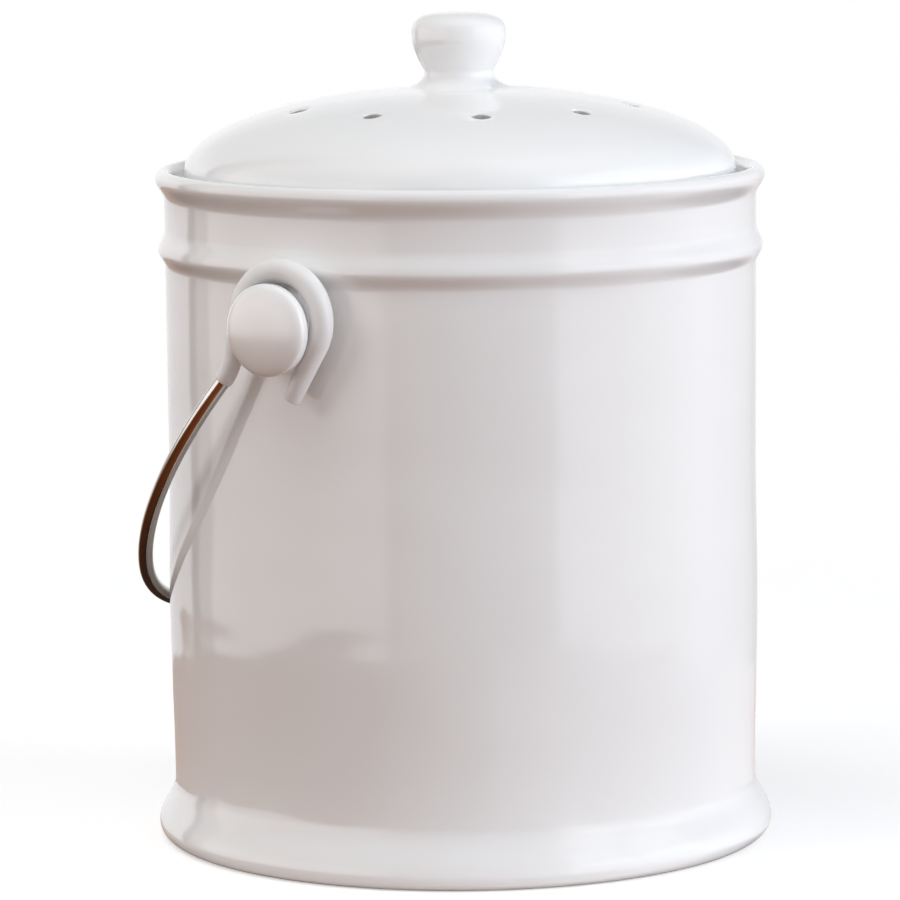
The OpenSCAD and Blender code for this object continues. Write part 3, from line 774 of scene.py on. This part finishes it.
world = bpy.data.worlds.new("studio")
world.use_nodes = True
scene.world = world
sky = world.node_tree
sky.nodes.clear()
way = add(sky, "ShaderNodeTexCoord").outputs["Generated"]
front = add(sky, "ShaderNodeVectorMath", "DOT_PRODUCT", _0=way, _1=to_camera).outputs["Value"]
aside = add(sky, "ShaderNodeVectorMath", "DOT_PRODUCT", _0=way, _1=to_right).outputs["Value"]
height = add(sky, "ShaderNodeSeparateXYZ", _0=way).outputs["Z"]
turn = add(sky, "ShaderNodeMath", "ARCTAN2", _0=aside, _1=front).outputs[0]


def part_of(value, low, high):
    """How far a value of the world is from a low to a high one, as 0 to 1."""
    made = add(sky, "ShaderNodeMapRange", Value=value, From_Min=low, From_Max=high)
    return made.outputs[0]


def going_round(stops):
    """A colour ramp right round the room, from (degrees, colour) stops."""
    return ramp(sky, round_part, [((at + 180) / 360, colour) for at, colour in stops])


round_part = part_of(turn, -math.pi, math.pi)
higher = ramp(sky, part_of(height, WALL_FROM, 1.0), WALL_LIGHT)
walls = add(sky, "ShaderNodeVectorMath", "MULTIPLY", _0=going_round(ROOM), _1=higher).outputs[0]
panes = add(sky, "ShaderNodeVectorMath", "MULTIPLY", _0=going_round(PANES_ACROSS),
            _1=ramp(sky, height, PANES_UPWARD)).outputs[0]
far_walls = add(sky, "ShaderNodeVectorMath", "ADD", _0=walls, _1=panes).outputs[0]
edge = add(sky, "ShaderNodeMapRange", Value=going_round(SKYLINE), To_Min=EDGE_LOW,
           To_Max=EDGE_HIGH).outputs[0]
over_edge = add(sky, "ShaderNodeMath", "SUBTRACT", _0=height, _1=edge).outputs[0]
wood = mixed(sky, part_of(height, NEAR_LOW, NEAR_HIGH), going_round(NEAR_WOOD),
             going_round(WORKTOP))
mirrored = mixed(sky, part_of(over_edge, -EDGE_SOFT, EDGE_SOFT), wood, far_walls)
room = add(sky, "ShaderNodeBackground", Color=mirrored, Strength=1.0)
soft_light = add(sky, "ShaderNodeBackground", Color=(0.975, 0.96, 0.985, 1), Strength=0.27)
white = add(sky, "ShaderNodeBackground", Color=(1, 1, 1, 1), Strength=1.0)
ray = add(sky, "ShaderNodeLightPath")
lit = add(sky, "ShaderNodeMixShader", _0=ray.outputs["Is Glossy Ray"],
          _1=soft_light.outputs[0], _2=room.outputs[0])
seen = add(sky, "ShaderNodeMixShader", _0=ray.outputs["Is Camera Ray"],
           _1=lit.outputs[0], _2=white.outputs[0])
add(sky, "ShaderNodeOutputWorld", Surface=seen.outputs[0])

LAMP_AIM_Z = 0.12


def lamp(name, side, ahead, height, size, watts, colour):
    """A soft rectangular lamp that faces the pail, placed as the camera sees it."""
    data = bpy.data.lights.new(name, "AREA")
    data.shape = "RECTANGLE"
    data.size, data.size_y = size
    data.energy = watts
    data.color = colour
    made = bpy.data.objects.new(name, data)
    spot = to_right * side + to_camera * ahead + up * height
    turned = (up * LAMP_AIM_Z - spot).to_track_quat("-Z", "Y").to_matrix().to_4x4()
    made.matrix_world = Matrix.Translation(spot) @ turned
    made.visible_glossy = False
    scene.collection.objects.link(made)


lamp("window", 1.7, 0.8, 0.6, (1.4, 1.2), 28.8, (0.86, 0.92, 1.0))
lamp("far_window", -1.5, 0.8, 0.9, (0.7, 0.8), 7.2, (1.0, 0.98, 0.975))
lamp("fill", -0.2, 2.2, 0.7, (1.4, 1.4), 2.5, (0.97, 0.97, 1.0))
lamp("ceiling", -0.45, 0.15, 1.5, (1.2, 1.2), 10.2, (0.985, 1.0, 0.995))

# The floor is pale to the eye and fades to white; to other rays it is a brown board
# with a pale ring round the foot, which tints the light that the pail gets from below
FLOOR_HALF = 8.0
FADE_FROM = 0.2
FADE_TO = 0.6
BOARD_FROM = 0.1
BOARD_TO = 0.13

floor_mesh = bpy.data.meshes.new("floor")
bm = bmesh.new()
bmesh.ops.create_grid(bm, x_segments=1, y_segments=1, size=FLOOR_HALF)
bm.to_mesh(floor_mesh)
bm.free()
floor = bpy.data.objects.new("floor", floor_mesh)
floor.visible_glossy = False
scene.collection.objects.link(floor)
pale, tree = fresh("pale_floor")
paint = add(tree, "ShaderNodeBsdfDiffuse", Color=(0.80, 0.80, 0.80, 1))
glow = add(tree, "ShaderNodeEmission", Color=(1, 1, 1, 1), Strength=0.40)
sheet = add(tree, "ShaderNodeEmission", Color=(1, 1, 1, 1), Strength=1.0)
lifted = add(tree, "ShaderNodeAddShader", _0=paint.outputs[0], _1=glow.outputs[0])
reach = add(tree, "ShaderNodeVectorMath", "LENGTH", _0=own_space(tree)).outputs["Value"]
away = add(tree, "ShaderNodeMapRange", Value=reach, From_Min=FADE_FROM, From_Max=FADE_TO)
boards = add(tree, "ShaderNodeMapRange", Value=reach, From_Min=BOARD_FROM, From_Max=BOARD_TO)
stain = ramp(tree, boards.outputs[0], [(0.0, (0.80, 0.72, 0.68)), (1.0, (0.30, 0.178, 0.125))])
table = add(tree, "ShaderNodeBsdfDiffuse", Color=stain)
faded = add(tree, "ShaderNodeMixShader", _0=away.outputs[0], _1=lifted.outputs[0],
            _2=sheet.outputs[0])
seen = add(tree, "ShaderNodeLightPath").outputs["Is Camera Ray"]
pick = add(tree, "ShaderNodeMixShader", _0=seen, _1=table.outputs[0], _2=faded.outputs[0])
add(tree, "ShaderNodeOutputMaterial", Surface=pick.outputs[0])
floor_mesh.materials.append(pale)
